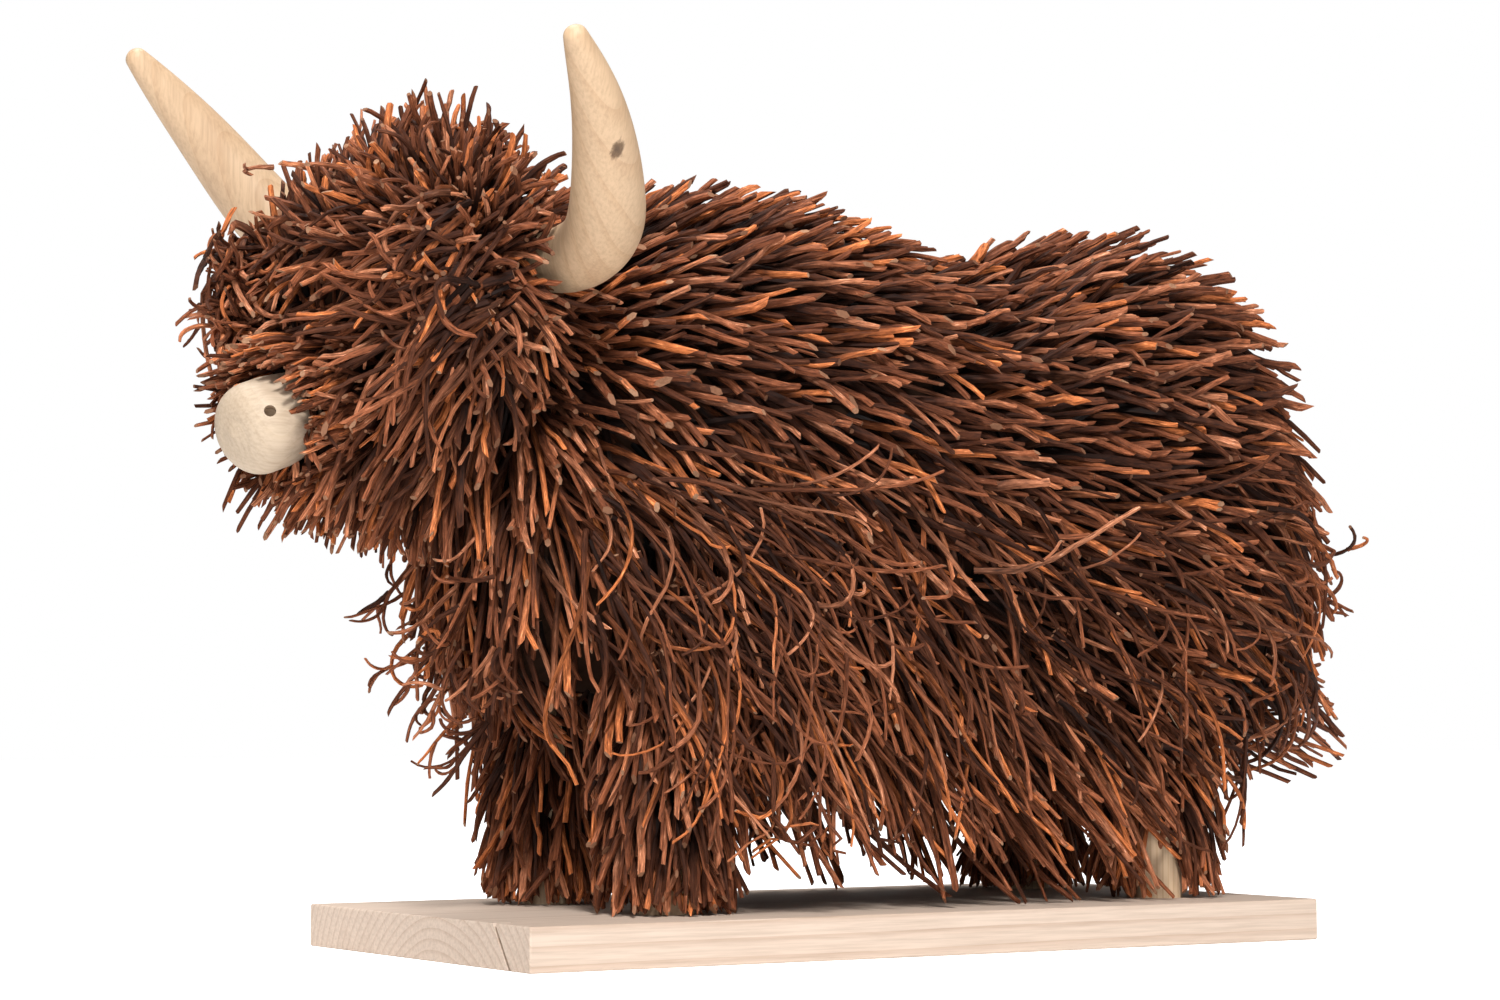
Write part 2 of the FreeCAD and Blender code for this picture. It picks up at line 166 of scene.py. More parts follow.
def face_tree(names):
    """A search tree over these nodes' faces, with the name of the node that owns each face."""
    points = []
    owners = []
    for name in names:
        triangles = node_triangles(name)
        points.append(triangles.reshape(-1, 3))
        owners.extend([name] * len(triangles))
    points = np.concatenate(points)
    faces = np.arange(len(points)).reshape(-1, 3)
    return BVHTree.FromPolygons(points.tolist(), faces.tolist()), owners


def is_open(point, normal, name, tree, owners):
    """True where no other node lies against this spot of a node's surface."""
    for _, other_normal, index, _ in tree.find_nearest_range(Vector(point), TOUCHING):
        if owners[index] != name and other_normal.dot(Vector(normal)) < FACING:
            return False
    return True


def thinned(points, gap):
    """Indices of points taken in turn, leaving out any that is nearer than the gap to one taken."""
    cells = {}
    kept = []
    steps = [(a, b, c) for a in (-1, 0, 1) for b in (-1, 0, 1) for c in (-1, 0, 1)]
    keys = np.floor(points / gap).astype(int)
    for index, (point, key) in enumerate(zip(points, keys)):
        near = (cells.get((key[0] + a, key[1] + b, key[2] + c)) for a, b, c in steps)
        if any(np.sum((point - points[other]) ** 2) < gap * gap for cell in near if cell for other in cell):
            continue
        cells.setdefault(tuple(key), []).append(index)
        kept.append(index)
    return kept


def surface_points(name, gap, tree, owners):
    """Evenly scattered points on the open surface of a coat node, with their outward normals."""
    triangles = node_triangles(name)
    cross = np.cross(triangles[:, 1] - triangles[:, 0], triangles[:, 2] - triangles[:, 0])
    areas = np.linalg.norm(cross, axis=1) / 2
    tries = int(areas.sum() / gap**2 * TRIES_PER_POINT)
    chosen = rng.choice(len(triangles), tries, p=areas / areas.sum())
    first, second = rng.random((2, tries, 1))
    folded = first + second > 1
    first = np.where(folded, 1 - first, first)
    second = np.where(folded, 1 - second, second)
    corners = triangles[chosen]
    points = corners[:, 0] + first * (corners[:, 1] - corners[:, 0])
    points += second * (corners[:, 2] - corners[:, 0])
    normals = unit(cross)[chosen]
    kept = thinned(points, gap)
    kept = [i for i in kept if is_open(points[i], normals[i], name, tree, owners)]
    return points[kept], normals[kept]


# --- How the twigs lie --------------------------------------------------------------------------
def ripple(points, size):
    """A smooth random value from -1 to 1 that changes over about this size."""
    ways = unit(rng.normal(size=(3, 3))) * 2 * math.pi / size
    phases = rng.uniform(0, 2 * math.pi, 3)
    return np.sin(points @ ways.T + phases).mean(axis=1)


def gathered(points, gap, share):
    """The points drawn by a share towards the nearest of a scatter of centres, as locks of hair."""
    centres = points[thinned(points, gap)]
    apart = np.linalg.norm(points[:, None] - centres[None], axis=2)
    return points + (centres[apart.argmin(axis=1)] - points) * share


def trunk_flow(points, normals):
    """Backwards on the back, turning downwards towards the belly, the chest and the rump."""
    y, z = points[:, 1] / MM, points[:, 2] / MM
    # Degrees below level: by height, with less towards the rear, and more on the chest and the rump.
    drop = np.interp(z, [50, 100, 150, 200, 250, 300, 350], [80, 66, 53, 38, 22, 12, 6])
    drop *= np.interp(y, [-20, 110], [1, 0.42])
    drop += np.interp(y, [-225, -205, -185, -150], [50, 30, 7, 0])
    drop += np.interp(y, [200, 245, 290], [0, 14, 44])
    steepest = 88
    tousle = 9 * ripple(points, 90 * MM)
    drop = np.radians(np.minimum(drop, steepest) + tousle)
    lie = np.stack([np.zeros_like(y), np.cos(drop), -np.sin(drop)], axis=1)
    return flattened(lie, normals)


def head_flow(points, normals):
    """Away from the whorl and the two ears, and lower down towards the muzzle and the ground."""
    soft_core = 6 * MM  # keeps the pull finite at a centre
    muzzle_pull, ground_pull = 30, 22  # a centre's pull is one over the distance in metres
    local = to_head(points)
    pull = np.zeros_like(local)
    for centre in (WHORL, EAR, EAR * [-1, 1, 1]):
        away = local - centre
        pull += away / (np.sum(away**2, axis=1, keepdims=True) + soft_core**2)
    face = np.interp(local[:, 1] / MM, [-265, -225], [1, 0])
    low = np.interp(local[:, 2] / MM, [200, 320], [1, 0])
    pull += SNOUT_WAY * (face * low * muzzle_pull)[:, None]
    pull[:, 2] -= ground_pull * low
    return from_head_direction(flattened(pull, normals @ HEAD_AXES))


def snout_flow(points):
    """Forwards along the snout, to end as a collar round the muzzle."""
    return np.repeat(from_head_direction(SNOUT_WAY[None]), len(points), axis=0)


def downward(points, sweep):
    """Down, swept back by a share of the drop, or forwards where that is below nought."""
    ways = np.tile(DOWN, (len(points), 1))
    ways[:, 1] = sweep
    return unit(ways)


# --- Twig sizes ---------------------------------------------------------------------------------
SIDES = 6
ANGLES = np.linspace(0, 2 * math.pi, SIDES, endpoint=False)
RINGS = 7  # along a twig of the coat's areas
LOOSE_RINGS = 13  # and along a long curling one
TAPER = (1.15, 0.72)  # from the root to the tip
RING_WOBBLE = 0.16  # how far a point is off the radius, drawn anew at each ring
SIDE_WOBBLE = 0.12  # and once for each side of a twig, all the way along it
CUT_SLANT = (0.1, 1.6)  # how far an end's cut leans, in radii
CROOK = 0.42 * MM  # how far a twig strays from a smooth line at each ring
ARCH = 5 * MM  # a lying twig leaves the block steeply and then lies flatter
LENGTH_SHARE = 0.3  # how much the lengths differ
GIRTH_SPREAD = 0.24  # how much the thicknesses differ, as the deviation of their logarithm
LOCK_GAP = 27 * MM  # from one lock of twigs to the next
LEAST_COVER = 8 * MM  # the coat's twigs end at least this far above the block
FOOT_TIPS = 140  # more twigs round each foot
PARTING_TOP = 41 * MM  # the height up to which one post is left bare
LOOSE_LOWEST = 42 * MM  # loose twigs that hang lower than this are left out
STRAY_ROOM = 12 * MM  # the same for those that leave the CAD part's box by more than this
UNBOUND = 1.0  # a reach in metres that no twig gets to

# The blocks that the twigs are rooted in.
trunk_core, _ = face_tree(("body_block",) + POST_NODES)
body_core, _ = face_tree(("body_block",))
head_core, _ = face_tree(("head_block",))


# --- Twig lines and meshes ----------------------------------------------------------------------
def twig_lines(roots, middles, tips):
    """Centre lines that leave the root, lean towards the middle and end near the tip, crookedly."""
    t = np.linspace(0, 1, RINGS)[None, :, None]
    lines = (1 - t) ** 2 * roots[:, None] + 2 * t * (1 - t) * middles[:, None] + t**2 * tips[:, None]
    kinks = rng.normal(size=lines.shape) * CROOK
    kinks[:, 0] = 0
    return lines + kinks


def curling_twigs(starts, ways, length, surface, height, droop, curl, reach=UNBOUND):
    """Long twigs that set out along the ways, droop and curl, and keep near a surface.

    droop and curl are how much the direction changes over the whole twig. The twigs stay between
    their height and the reach above the surface.
    """
    unevenness = 0.8  # how much the curls differ from twig to twig
    restlessness = 0.06  # how much of the curl changes its way at each ring
    count = len(starts)
    reach = np.broadcast_to(reach, count)
    stride = length[:, None] / (LOOSE_RINGS - 1)
    axes = unit(rng.normal(size=(count, 3))) * spread(curl, unevenness, (count, 1)) / LOOSE_RINGS
    sag = DOWN * droop / LOOSE_RINGS
    line = [starts]
    for _ in range(LOOSE_RINGS - 1):
        axes = axes + rng.normal(size=(count, 3)) * curl * restlessness
        ways = unit(ways + np.cross(axes, ways) + sag)
        place = line[-1] + ways * stride
        for index, point in enumerate(place):
            spot, normal, _, _ = surface.find_nearest(Vector(point))
            above = (Vector(point) - spot).dot(normal)
            if above < height[index]:
                place[index] = spot + normal * height[index]
            elif above > reach[index]:
                place[index] = spot + normal * reach[index]
        line.append(place)
    return np.stack(line, axis=1)


def tube_points(lines, radii):
    """The points round every ring of each twig: knobbly, tapered, with a slanted cut at the tip."""
    count, rings, _ = lines.shape
    ahead = unit(np.gradient(lines, axis=1))
    across = unit(np.cross(ahead, unit(rng.normal(size=(count, 1, 3)))))
    upward = np.cross(ahead, across)
    knobs = spread(1.0, RING_WOBBLE, (count, rings, SIDES))
    wobble = knobs * spread(1.0, SIDE_WOBBLE, (count, 1, SIDES))
    taper = np.linspace(*TAPER, rings)[None, :, None]
    reach = radii[:, None, None] * wobble * taper
    circle = np.cos(ANGLES)[:, None] * across[:, :, None] + np.sin(ANGLES)[:, None] * upward[:, :, None]
    points = lines[:, :, None] + circle * reach[..., None]
    slant = rng.uniform(*CUT_SLANT, count)[:, None] * radii[:, None] * np.cos(ANGLES)
    points[:, -1] += ahead[:, -1, None] * slant[..., None]
    return points


def tube_quads(rings):
    """The ring and the side at which each quad of one twig starts."""
    return np.meshgrid(np.arange(rings - 1), np.arange(SIDES), indexing="ij")


def tube_corners(count, rings):
    """The point at each corner of each face: for every twig its quads, and then its two ends."""
    ring, side = tube_quads(rings)
    after = (side + 1) % SIDES
    low, high = ring * SIDES, (ring + 1) * SIDES
    quads = np.stack([low + side, low + after, high + after, high + side], axis=-1).reshape(-1)
    root = np.arange(SIDES)[::-1]
    tip = (rings - 1) * SIDES + np.arange(SIDES)
    corners = np.concatenate([quads, root, tip])
    return (corners[None] + (np.arange(count) * rings * SIDES)[:, None]).reshape(-1)


def bark_places(lines):
    """The same corners' places in the bark pattern: the turn round the twig and metres along it."""
    count, rings, _ = lines.shape
    ring, side = tube_quads(rings)
    turn = np.stack([side, side + 1, side + 1, side], axis=-1) / SIDES
    climb = np.stack([ring, ring, ring + 1, ring + 1], axis=-1) / (rings - 1)
    quads = np.stack([turn, climb], axis=-1).reshape(1, -1, 2)
    end = np.stack([np.cos(ANGLES), np.sin(ANGLES)], axis=-1)[None]
    places = np.concatenate([quads, end, end], axis=1).repeat(count, axis=0)
    lengths = np.linalg.norm(np.diff(lines, axis=1), axis=2).sum(axis=1)
    places[:, : quads.shape[1], 1] *= lengths[:, None]
    pattern_length = 9  # each twig starts somewhere else along the pattern
    return places + rng.uniform(0, pattern_length, (count, 1, 2)) * [0, 1]


def twig_bundle(name, lines, radii, root_shade_start):
    """One mesh of many twigs, with bark on the sides and the cut wood at the ends.

    The material darkens a twig towards its root as painted shade, standing in for the shade deep in the
    coat; the last argument is how far from the root this twig starts on that painted shade.
    """
    count, rings, _ = lines.shape
    tones = rng.random(count)
    points = tube_points(lines, radii)
    corners = tube_corners(count, rings)
    is_end = np.tile([0] * (rings - 1) * SIDES + [1, 1], count)
    sizes = np.where(is_end, SIDES, 4)
    starts = np.concatenate([[0], np.cumsum(sizes)[:-1]])

    mesh = bpy.data.meshes.new(name)
    mesh.vertices.add(count * rings * SIDES)
    mesh.vertices.foreach_set("co", points.reshape(-1))
    mesh.loops.add(len(corners))
    mesh.loops.foreach_set("vertex_index", corners.astype(np.int32))
    mesh.polygons.add(len(sizes))
    mesh.polygons.foreach_set("loop_start", starts.astype(np.int32))
    mesh.shade_flat()
    mesh.materials.append(materials["bark"])
    mesh.materials.append(materials["cut_end"])
    mesh.polygons.foreach_set("material_index", is_end.astype(np.int32))
    mesh.uv_layers.new(name="BarkMap").data.foreach_set("uv", bark_places(lines).reshape(-1))
    # The along values run from the painted root shade's start up to 1, and the bark material darkens the low
    # values as painted shade.
    along = np.tile(np.linspace(root_shade_start, 1, rings).repeat(SIDES), count)
    for label, values in (("tone", tones.repeat(rings * SIDES)), ("along", along)):
        mesh.attributes.new(label, "FLOAT", "POINT").data.foreach_set("value", values)
    mesh.update()
    mesh.validate()
    bundle = bpy.data.objects.new(name, mesh)
    bpy.context.scene.collection.objects.link(bundle)
    return bundle


def lay_twigs(tips, normals, flow, length, radius, bend, wander, core=trunk_core, hanging=False):
    """Lines and radii of twigs that end at the tips and are glued to the block under them.

    bend is how far the middle strays, and wander is how far the direction strays from the flow,
    in degrees. A lying twig is rooted under its tip and back along the coat; a hanging one is
    rooted where the block is nearest to its upper end.
    """
    count = len(tips)
    stray = np.tan(np.radians(wander)) * rng.normal(size=count)
    flow = unit(flow + np.cross(normals, flow) * stray[:, None])
    length = np.broadcast_to(length, count) * spread(1.0, LENGTH_SHARE, count)
    lower_end = tips
    if not hanging:
        lower_end = nearest(core, tips)
        cover = np.sum((tips - lower_end) * normals, axis=1)
        tips = tips + normals * np.maximum(LEAST_COVER - cover, 0)[:, None]
    roots = nearest(core, lower_end - flow * length[:, None])
    bend = np.broadcast_to(bend, count)[:, None]
    middles = (roots + tips) / 2 + rng.normal(size=(count, 3)) * bend
    if not hanging:
        middles += normals * ARCH
    radii = np.broadcast_to(radius, count) * np.exp(rng.normal(size=count).clip(-2, 2) * GIRTH_SPREAD)
    return twig_lines(roots, middles, tips), radii


def lifted(points, normals, low, high):
    """The points moved out by a random height between low and high, in millimetres."""
    return points + normals * rng.uniform(low, high, (len(points), 1)) * MM


# --- The coat's areas ---------------------------------------------------------------------------
def trunk_twigs(points, normals):
    """Thick short twigs on the back, and longer, thinner ones in locks lower down."""
    lower = np.interp(points[:, 2] / MM, [110, 240], [1, 0])
    locks = gathered(points, LOCK_GAP, share=(0.15 + 0.33 * lower)[:, None])
    return lay_twigs(
        lifted(locks, normals, low=-11, high=6),
        normals,
        trunk_flow(points, normals),
        length=(46 + 48 * lower) * MM,
        radius=(1.85 - 0.4 * lower) * MM,
        bend=(2.5 + 5 * lower) * MM,
        wander=14 + 2 * lower,
    )


def head_twigs(points, normals):
    """Thinner short twigs that spread from the whorl and the ears."""
    return lay_twigs(
        lifted(points, normals, low=-10, high=4),
        normals,
        head_flow(points, normals),
        length=42 * MM,
        radius=1.45 * MM,
        bend=3.5 * MM,
        wander=16,
        core=head_core,
    )


def snout_twigs(points, normals):
    """Short twigs that end unevenly round the muzzle."""
    flow = snout_flow(points)
    return lay_twigs(
        points + flow * rng.uniform(-3, 7, (len(points), 1)) * MM,
        normals,
        flow,
        length=36 * MM,
        radius=1.35 * MM,
        bend=2 * MM,
        wander=14,
        core=head_core,
    )


def leg_twigs(points, normals):
    """Straight down at the feet, and swept back like the haunch at the top of the rear legs."""
    y, z = points[:, 1] / MM, points[:, 2] / MM
    sweep = np.interp(y, [0, 120], [0, 1]) * np.interp(z, [50, 120], [0.15, 1.4])
    return lay_twigs(
        lifted(points, normals, low=-9, high=4),
        normals,
        flattened(downward(points, sweep), normals),
        length=52 * MM,
        radius=1.5 * MM,
        bend=4 * MM,
        wander=13,
    )


def fringe_twigs(points, normals):
    """Long thin twigs of uneven length, which cross each other and curl; swept back at the tail."""
    y = points[:, 1] / MM
    locks = gathered(points, LOCK_GAP, share=0.35)
    uneven = rng.uniform(-0.7, 1, len(points)) * np.interp(y, [180, 250], [1, 0.3])
    tips = locks + np.array([0, 12, -26]) * MM * uneven[:, None]
    return lay_twigs(
        tips,
        normals,
        downward(points, sweep=np.interp(y, [-60, 90, 180, 260], [0.4, 0.9, 1.4, 2.2])),
        length=86 * MM,
        radius=1.4 * MM,
        bend=9 * MM,
        wander=17,
        core=body_core,
        hanging=True,
    )


def belly_twigs(points, normals):
    """Twigs under the belly, which end at many heights."""
    tips = points + normals * rng.uniform(0, 34, (len(points), 1)) * MM
    return lay_twigs(
        tips,
        normals,
        downward(points, sweep=0.2),
        length=36 * MM,
        radius=1.3 * MM,
        bend=6 * MM,
        wander=16,
        core=body_core,
        hanging=True,
    )


def foot_points(name):
    """Tips just above the plank, all round a leg, so that the coat closes down to the plank."""
    low, high = (np.array(corner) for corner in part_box(name.removesuffix("_twigs")))
    centre = (low + high) / 2
    post_radius = (high[0] - low[0]) / 2
    angles = rng.uniform(0, 2 * math.pi, FOOT_TIPS)
    normals = np.stack([np.cos(angles), np.sin(angles), np.zeros(FOOT_TIPS)], axis=1)
    reach = post_radius + rng.uniform(1, 20, (FOOT_TIPS, 1)) * MM
    points = centre * [1, 1, 0] + normals * reach
    points[:, 2] = PLANK_TOP + rng.uniform(0, 9, FOOT_TIPS) * MM
    return points, normals


def parted(points, normals):
    """Which twigs to keep so that the bare post shows at the outer front of the left rear foot."""
    outer_front = unit(np.array([0.94, -0.34, 0.0]))
    least_product = 0.9  # of the two directions, so within about 26 degrees
    faces_out = normals @ outer_front > least_product
    return ~(faces_out & (points[:, 2] < PARTING_TOP))


def coat_styles():
    """The gap between twig tips, and the way to lay the twigs, for each coat node."""
    styles = {name: (6.7 * MM, trunk_twigs) for name in TRUNK_NODES}
    styles.update({name: (6.2 * MM, head_twigs) for name in HEAD_NODES})
    styles.update({name: (6.0 * MM, leg_twigs) for name in LEG_NODES})
    styles.update({name: (7.4 * MM, fringe_twigs) for name in FRINGE_NODES})
    styles["snout_twigs"] = (5.4 * MM, snout_twigs)
    styles["belly_twigs"] = (10.0 * MM, belly_twigs)
    styles["tail_twigs"] = (7.4 * MM, fringe_twigs)
    return styles


def keep_above_plank(lines, radii):
    """Twigs are cut off short above the plank: their low points move up to its top."""
    gap = 0.2 * MM
    floor = PLANK_TOP + radii[:, None] + gap
    lines[:, :, 2] = np.maximum(lines[:, :, 2], floor)
    return lines


# --- Extra twigs between the areas and across them ----------------------------------------------
# Each gives what add_extra takes: the lines, the radii, and how far from the root each twig starts on the
# painted root shade that twig_bundle explains.
def loose_twigs(surface, count, y_range, z_range, height_range):
    """Long curling twigs that lie over the coat, or just in it, on both sides."""
    beside = 118  # millimetres from the middle, just outside the coat
    side = alternate_sides(count)
    starts = np.stack([side * beside, rng.uniform(*y_range, count), rng.uniform(*z_range, count)], axis=1)
    starts = nearest(surface, starts * MM)
    outward = np.tile([1.0, 0.0, 0.0], (count, 1)) * side[:, None]
    ways = unit(trunk_flow(starts, outward) + rng.normal(size=(count, 3)) * 0.25)
    length = rng.uniform(50, 125, count) * MM
    height = rng.uniform(*height_range, count) * MM
    lines = curling_twigs(starts, ways, length, surface, height, droop=0.8, curl=0.6, reach=9 * MM)
    clear = lines[:, :, 2].min(axis=1) > LOOSE_LOWEST
    return lines[clear], spread(1.05, 0.35, clear.sum()) * MM, 0.4


def loose_flank_twigs(surface):
    """Those that curl over the lower flanks."""
    return loose_twigs(surface, count=300, y_range=(-130, 240), z_range=(75, 215), height_range=(-1, 6))


def loose_chest_twigs(surface):
    """Those that cover the sides of the chest and the shoulders."""
    return loose_twigs(surface, count=420, y_range=(-200, -70), z_range=(125, 215), height_range=(-6, 5))


def clear_of(lines, names, gap):
    """Which twigs stay at least a gap clear of these nodes."""
    tree, _ = face_tree(names)
    clear = []
    for line in lines:
        found = [(Vector(point), *tree.find_nearest(Vector(point))[:2]) for point in line]
        clear.append(all((point - spot).dot(normal) > gap for point, spot, normal in found))
    return np.array(clear)


def tuft(starts, ways, shortest, longest):
    """Short curling twigs that stand on the head block and stay clear of the horns."""
    count = len(starts)
    length = rng.uniform(shortest, longest, count) * MM
    height = rng.uniform(1, 9, count) * MM
    lines = curling_twigs(starts, ways, length, head_core, height, droop=0.3, curl=0.35)
    lines = lines[clear_of(lines, HORNS, gap=2 * MM)]
    return lines, spread(1.45, 0.3, len(lines)) * MM, 0.1


def crown_tuft():
    """Twigs that burst out from the whorl and stand up over the crown."""
    count = 260
    away = rng.normal(size=(count, 3)) * [30, 26, 24]
    starts = nearest(head_core, from_head(WHORL + away * MM))
    tousle = rng.normal(size=(count, 3)) * 0.3
    upwards = [0.1, -0.3, 0.6]
    ways = unit(from_head_direction(unit(away) * 1.2 + tousle + upwards))
    return tuft(starts, ways, shortest=28, longest=47)


def nape_tuft():
    """Short twigs at all angles on the back of the head, where the others point straight back."""
    count = 620
    outside = 100 * MM  # further from the head's centre than the block's surface
    away = unit(rng.normal(size=(count, 3)) * [1, 0.5, 0.7] + [0, 0.9, 0.4])
    starts = nearest(head_core, from_head(HEAD_CENTRE + away * outside))
    tousle = rng.normal(size=(count, 3)) * 0.75
    ways = from_head_direction(unit(away + tousle))
    return tuft(starts, ways, shortest=24, longest=38)


def brow_curls(surface):
    """Long curved twigs that cross the whole brow and hang down over the face."""
    count = 300
    far_end, near_end = -66, 72
    x = rng.uniform(far_end, near_end, count)
    top = np.interp(x, [far_end, 0, near_end], [316, 334, 344])
    starts = np.stack([x, rng.uniform(-270, -254, count), rng.uniform(294, top)], axis=1)
    starts = from_head(starts * MM)
    tousle = rng.normal(size=(count, 3)) * 0.45
    forwards = [-0.45, -0.8, -0.1]
    ways = unit(from_head_direction(tousle + forwards))
    length = rng.uniform(36, 80, count) * MM
    height = rng.uniform(-3, 7, count) * MM
    reach = height + rng.uniform(3, 14, count) * MM
    lines = curling_twigs(starts, ways, length, surface, height, droop=1.0, curl=0.8, reach=reach)
    lines = lines[clear_of(lines, HORNS + ("muzzle",), gap=5 * MM)]
    return lines, spread(1.35, 0.3, len(lines)) * MM, 0.35


def cheek_locks(surface):
    """Twigs that fan out below each ear, down the cheek to the side of the muzzle."""
    count = 300
    mirror = np.stack([alternate_sides(count), np.ones(count), np.ones(count)], axis=1)
    starts = CHEEK_TOP + rng.normal(size=(count, 3)) * [9, 9, 11] * MM
    angle = rng.uniform(0.2, 2.7, count)
    round_it = np.sin(angle)[:, None] * [1, 0, 0] + np.cos(angle)[:, None] * SNOUT_RISE
    ends = MUZZLE_BACK + round_it * rng.uniform(26, 44, (count, 1)) * MM
    ways = from_head_direction(unit(ends - starts) * mirror)
    length = np.linalg.norm(ends - starts, axis=1) * rng.uniform(0.5, 1.1, count)
    height = rng.uniform(-4, 5, count) * MM
    starts = from_head(starts * mirror)
    lines = curling_twigs(starts, ways, length, surface, height, droop=0.1, curl=0.35, reach=10 * MM)
    lines = lines[clear_of(lines, ("muzzle",), gap=4 * MM)]
    return lines, spread(1.35, 0.3, len(lines)) * MM, 0.3


def muzzle_collar():
    """Twigs all round the back of the muzzle, spreading further out on the far side and below."""
    count = 260
    angle = rng.uniform(-math.pi, math.pi, count)
    tightest = math.radians(80)  # on the near side
    far = (1 - np.cos(angle - tightest)) / 2
    radius = (24 + rng.uniform(0, 5 + 18 * far)) * MM
    round_it = np.sin(angle)[:, None] * [1, 0, 0] + np.cos(angle)[:, None] * SNOUT_RISE
    tips = MUZZLE_BACK + SNOUT_WAY * rng.uniform(-4, 20, (count, 1)) * MM + round_it * radius[:, None]
    tips = from_head(tips)
    lines, radii = lay_twigs(
        tips,
        from_head_direction(round_it),
        snout_flow(tips),
        length=34 * MM,
        radius=1.25 * MM,
        bend=2.5 * MM,
        wander=10,
        core=head_core,
    )
    clear = clear_of(lines, ("muzzle",), gap=0.5 * MM)
    return lines[clear], radii[clear], 0.2


def throat_twigs():
    """Twigs of uneven length that hang from the chin, and from there back along the throat."""
    count = 330
    back = rng.uniform(0, 1, count)
    x = rng.normal(size=count) * 19
    y = np.interp(back, [0, 1], [-308, -200])
    z = np.interp(back, [0, 1], [199, 181]) + rng.uniform(-7, 14, count)
    tips = from_head(np.stack([x, y, z], axis=1) * MM)
    lines, radii = lay_twigs(
        tips,
        np.tile(DOWN, (count, 1)),
        downward(tips, sweep=np.interp(back, [0, 1], [-0.7, 0.1])),
        length=46 * MM,
        radius=1.35 * MM,
        bend=4 * MM,
        wander=15,
        core=head_core,
        hanging=True,
    )
    return lines, radii, 0.1


def stray_twigs(surface):
    """Thin crooked forked twigs that stand well clear of the face, the chest and the rump."""
    face = from_head(jitter((-45, -272, 292), size=(9, 7, 17), count=64))
    chest = jitter((0, -196, 150), size=(26, 5, 34), count=60)
    rump = jitter((30, 276, 186), size=(8, 3, 6), count=6)
    starts = np.concatenate([face, nearest(surface, chest), nearest(surface, rump)])
    headings = [[-0.5, -0.85, 0.0], [-0.3, -0.6, -0.75], [0.35, 0.9, -0.25]]
    ways = np.repeat(headings, [len(face), len(chest), len(rump)], axis=0)
    ways = unit(ways + rng.normal(size=ways.shape) * 0.25)
    length = rng.uniform(22, 46, len(starts)) * MM
    height = np.full(len(starts), -20 * MM)  # so far in that the coat doesn't turn them away
    lines = curling_twigs(starts, ways, length, surface, height, droop=0.15, curl=0.8)
    middles = lines[:, LOOSE_RINGS // 2]
    ways = unit(ways + rng.normal(size=ways.shape) * 0.7)
    forks = curling_twigs(middles, ways, length * 0.45, surface, height, droop=0.1, curl=0.8)
    lines = np.concatenate([lines, forks])
    lines = lines[clear_of(lines, HORNS + ("muzzle",), gap=4 * MM)]
    lines = lines[lines[:, :, 2].min(axis=1) > LOOSE_LOWEST]
    return lines, spread(1.0, 0.25, len(lines)) * MM, 0.7


def add_bundle(name, lines, radii, root_shade_start=0.0):
    """The mesh of these twigs, as a piece of the figure."""
    bundle = twig_bundle(name, keep_above_plank(lines, radii), radii, root_shade_start)
    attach(bundle, "root")
    return bundle


def add_extra(name, lines, radii, root_shade_start):
    """A bundle of extra twigs, without those that stray too far outside the CAD part's box."""
    boxes = np.array([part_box(node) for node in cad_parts])
    low = boxes[:, 0].min(axis=0) - STRAY_ROOM
    high = boxes[:, 1].max(axis=0) + STRAY_ROOM
    near = ((lines > low) & (lines < high)).all(axis=(1, 2))
    add_bundle(name, lines[near], radii[near], root_shade_start)


def grow_coat():
    """All the twigs: the coat's areas in place of their nodes, and then the extra ones."""
    tree, owners = face_tree(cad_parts)
    for name, (gap, lay) in coat_styles().items():
        points, normals = surface_points(name, gap, tree, owners)
        if name in LEG_NODES:
            feet, outward = foot_points(name)
            points = np.concatenate([points, feet])
            normals = np.concatenate([normals, outward])
        if name == "left_rear_leg_twigs":
            kept = parted(points, normals)
            points, normals = points[kept], normals[kept]
        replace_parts(add_bundle(name + "_bundle", *lay(points, normals)), name)
    outside, _ = face_tree(coat_styles())
    for extra in (loose_flank_twigs, loose_chest_twigs, brow_curls, cheek_locks, stray_twigs):
        add_extra(extra.__name__, *extra(outside))
    for extra in (crown_tuft, nape_tuft, muzzle_collar, throat_twigs):
        add_extra(extra.__name__, *extra())


# --- Materials ----------------------------------------------------------------------------------
WAVE_GAP = 6.28 / 20  # metres from ring to ring in Blender's wave texture at a scale of 1


def new_material(name):
    """A material, its Principled node, a maker of new nodes, and the call that links sockets."""
    material = bpy.data.materials.new(name)
    material.use_nodes = True
    tree = material.node_tree

    def add(kind, **settings):
        """A new node, with these settings, each the name of an input or of a property."""
        node = tree.nodes.new("ShaderNode" + kind)
        for key, value in settings.items():
            if key in node.inputs:
                node.inputs[key].default_value = value
            else:
                setattr(node, key, value)
        return node

    return material, tree.nodes["Principled BSDF"], add, tree.links.new


def ramp(add, stops):
    """A colour ramp from (position, colour) stops."""
    node = add("ValToRGB")
    elements = node.color_ramp.elements
    while len(elements) < len(stops):
        elements.new(0.5)
    for element, (position, colour) in zip(elements, stops):
        element.position = position
        element.color = (*colour, 1)
    return node


def number_times(add, link, value, factor):
    """A number multiplied by a fixed one."""
    node = add("Math", operation="MULTIPLY")
    node.inputs[1].default_value = factor
    link(value, node.inputs[0])
    return node.outputs[0]


def number_sum(add, link, first, second, use_clamp=False):
    """Two numbers added up."""
    node = add("Math", operation="ADD", use_clamp=use_clamp)
    link(first, node.inputs[0])
    link(second, node.inputs[1])
    return node.outputs[0]


def vector_with(add, link, operation, vector, fixed):
    """A vector and a fixed one put together by this operation."""
    node = add("VectorMath", operation=operation)
    node.inputs[1].default_value = fixed
    link(vector, node.inputs[0])
    return node.outputs[0]


